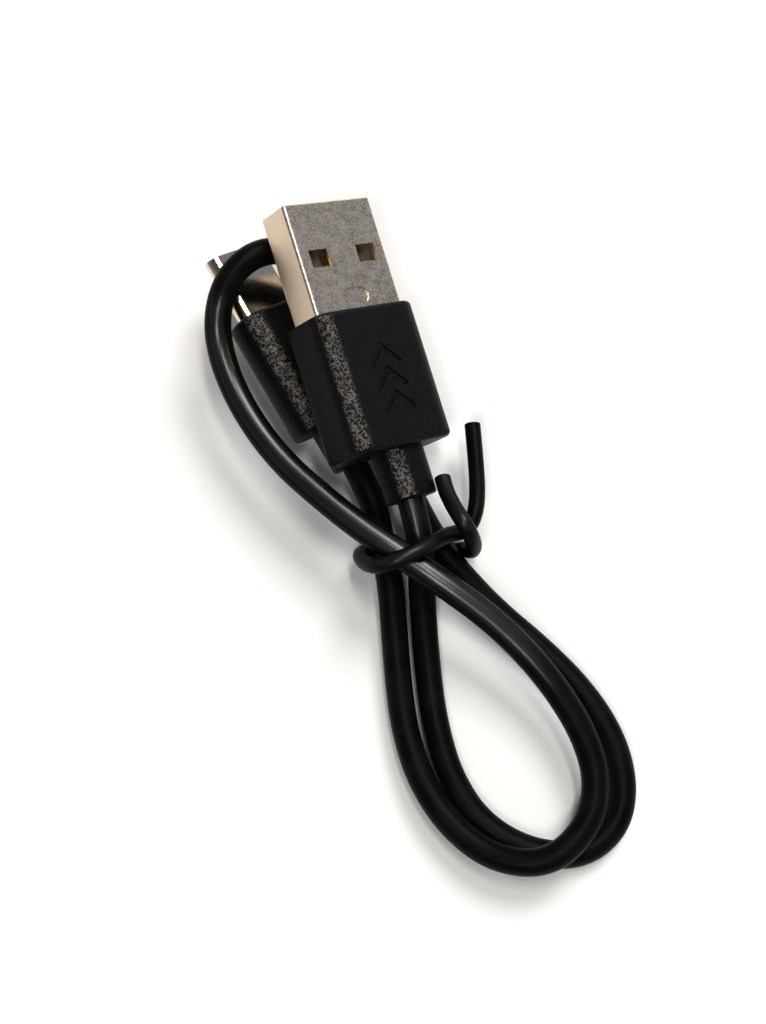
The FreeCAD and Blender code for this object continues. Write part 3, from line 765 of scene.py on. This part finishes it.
TIE_ROUTE: Sequence[Point] = (
    (0.0163, -0.0072, 0.0056), (0.0167, -0.0125, 0.0058), (0.0167, -0.0158, 0.0062),
    (0.0164, -0.0177, 0.0064), (0.0158, -0.0191, 0.0063), (0.0146, -0.0199, 0.0067),
    (0.0131, -0.0206, 0.0085), (0.0107, -0.0226, 0.0111), (0.0082, -0.0239, 0.0117),
    (0.0060, -0.0245, 0.0106), (0.0045, -0.0237, 0.0080), (0.0038, -0.0223, 0.0052),
    (0.0039, -0.0212, 0.0025), (0.0057, -0.0206, 0.0010), (0.0091, -0.0206, 0.0010),
    (0.0126, -0.0208, 0.0010), (0.0154, -0.0206, 0.0016), (0.0162, -0.0213, 0.0036),
    (0.0163, -0.0211, 0.0060), (0.0158, -0.0208, 0.0090), (0.0151, -0.0200, 0.0108),
    (0.0142, -0.0184, 0.0102), (0.0135, -0.0167, 0.0092), (0.0130, -0.0152, 0.0085),
    (0.0128, -0.0141, 0.0082),
)


@dataclass
class Hank:
    """The cord with its two plugs, and the wire tie that holds its loops together."""

    cord: RoundRun
    tie: RoundRun
    cord_exit: Point
    cord_length: float

    def build(self, workshop: Workshop) -> None:
        """Draw the cord and finish the tie.

        Args:
            workshop: Source of the materials.
        """
        cord = self.cord.draw(workshop)
        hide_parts("cord")
        tie = self.tie.draw(workshop)
        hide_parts("tie_coat")
        workshop.coat(frame["nodes"]["tie_core"], STEEL)


HANK = Hank(
    cord=RoundRun("cord_run", 0.003, CORD_ROUTE, JACKET),
    tie=RoundRun("tie_run", 0.0018, TIE_ROUTE, TIE_COAT),
    cord_exit=FLAT_END.point(0.0),
    cord_length=0.2917,
)


HANK_MIDDLE: Point = (0.008, -0.02, 0.0)
WARM_WHITE: Colour = (1.0, 0.97, 0.92)
DAY_WHITE: Colour = (1.0, 0.99, 0.97)


@dataclass
class Lamp:
    """One soft rectangular light, turned about its own aim."""

    name: str
    place: Point
    width: float
    height: float
    power: float
    colour: Colour
    turn: float = 0.0
    aim: Point = HANK_MIDDLE

    def hang(self) -> None:
        """Put the light into the scene."""
        data = bpy.data.lights.new(self.name, "AREA")
        data.shape = "RECTANGLE"
        data.size = self.width
        data.size_y = self.height
        data.energy = self.power
        data.color = self.colour
        lamp = bpy.data.objects.new(self.name, data)
        lamp.location = self.place
        towards = (Vector(self.aim) - Vector(self.place)).to_track_quat("-Z", "Y")
        spin = Quaternion((0.0, 0.0, 1.0), math.radians(self.turn))
        lamp.rotation_euler = (towards @ spin).to_euler()
        bpy.context.scene.collection.objects.link(lamp)


@dataclass
class Studio:
    """White table, soft lights and the camera."""

    eye: Point = (0.0063, -0.06, 0.17688)
    tilt: float = 14.0
    lens: float = 56.25
    sensor: float = 36.0
    nearest: float = 0.01
    table_size: float = 3.0
    table_colour: Colour = (0.98, 0.98, 0.98)
    table_roughness: float = 0.9
    painted_table_light: float = 0.05
    shade_reach: float = 0.015
    room: Sequence[Tuple[float, Colour]] = (
        (0.0, (0.29, 0.3, 0.33)),
        (0.35, (0.26, 0.27, 0.3)),
        (0.6, (0.16, 0.16, 0.16)),
        (1.0, (0.06, 0.06, 0.06)),
    )
    lamps: Sequence[Lamp] = (
        Lamp("key", (0.179, 0.281, 0.478), 0.22, 0.22, power=2.0, colour=DAY_WHITE),
        Lamp("top", (0.05, 0.018, 0.446), 0.15, 0.038, power=0.55, colour=WARM_WHITE, turn=-35.0),
        Lamp("front", (-0.045, -0.205, 0.405), 0.06, 0.12, power=0.48, colour=WARM_WHITE),
    )

    def clear(self) -> None:
        """Remove what an empty file starts with, apart from the frame."""
        kept = set(frame["nodes"].values()) | set(frame["bodies"].values())
        for item in list(bpy.context.scene.objects):
            if item not in kept:
                bpy.data.objects.remove(item)

    def set_camera(self) -> None:
        """Stand the camera above the table, tilted away from straight down."""
        data = bpy.data.cameras.new("camera")
        data.lens = self.lens
        data.sensor_width = self.sensor
        data.clip_start = self.nearest
        camera = bpy.data.objects.new("camera", data)
        camera.location = self.eye
        camera.rotation_euler = (math.radians(self.tilt), 0.0, 0.0)
        bpy.context.scene.collection.objects.link(camera)
        bpy.context.scene.camera = camera

    def table_top(self) -> bpy.types.Material:
        """Matte white with painted light: a faint glow that only the camera sees, scaled by ambient
        occlusion, so the camera sees it a little brighter away from the object and a painted shade close
        to it.

        Returns:
            The material.
        """
        material, tree, shader = Finish("table_top").start()
        shader.inputs["Roughness"].default_value = self.table_roughness
        shader.inputs["Base Color"].default_value = (*self.table_colour, 1.0)
        shader.inputs["Specular IOR Level"].default_value = 0.0
        shader.inputs["Emission Color"].default_value = (1.0, 1.0, 1.0, 1.0)
        # painted light: camera-only emission, weaker where ambient occlusion is low, which paints shade
        # near the object
        seen = tree.add("ShaderNodeLightPath").outputs["Is Camera Ray"]
        open_sky = tree.add("ShaderNodeAmbientOcclusion", Distance=self.shade_reach).outputs["AO"]
        painted_light = tree.maths("MULTIPLY", tree.maths("MULTIPLY", open_sky, open_sky), self.painted_table_light)
        tree.join(tree.maths("MULTIPLY", seen, painted_light), shader.inputs["Emission Strength"])
        return material

    def lay_table(self) -> None:
        """Lay the white table top, which keeps the object's shadow."""
        half = self.table_size / 2
        rim = [(-half, -half, 0.0), (half, -half, 0.0), (half, half, 0.0), (-half, half, 0.0)]
        mesh = bpy.data.meshes.new("table")
        mesh.from_pydata(rim, [], [(0, 1, 2, 3)])
        mesh.materials.append(self.table_top())
        table = bpy.data.objects.new("table", mesh)
        bpy.context.scene.collection.objects.link(table)

    def light(self) -> None:
        """Hang the lamps and set the dim room: pale walls under a dark ceiling."""
        for lamp in self.lamps:
            lamp.hang()
        world = bpy.data.worlds.new("room")
        world.use_nodes = True
        tree = ShaderTree(world.node_tree)
        background = tree.add("ShaderNodeBackground")
        tree.join(tree.ramp(tree.upward(Space.DIRECTION), self.room), background.inputs["Color"])
        output = tree.add("ShaderNodeOutputWorld")
        tree.join(background.outputs["Background"], output.inputs["Surface"])
        bpy.context.scene.world = world
        bpy.context.scene.view_settings.view_transform = "Standard"

    def build(self) -> None:
        """Set up everything round the object."""
        self.clear()
        self.set_camera()
        self.lay_table()
        self.light()


def main() -> None:
    """Build the studio, dress the plugs and lay the cord."""
    logging.basicConfig(level=logging.INFO, format="%(name)s %(message)s")
    Studio().build()
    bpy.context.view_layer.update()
    workshop = Workshop()
    HANK.build(workshop)
    for plug in (FLAT_PLUG, OVAL_PLUG):
        plug.dress(workshop)


if __name__ == "__main__":
    main()
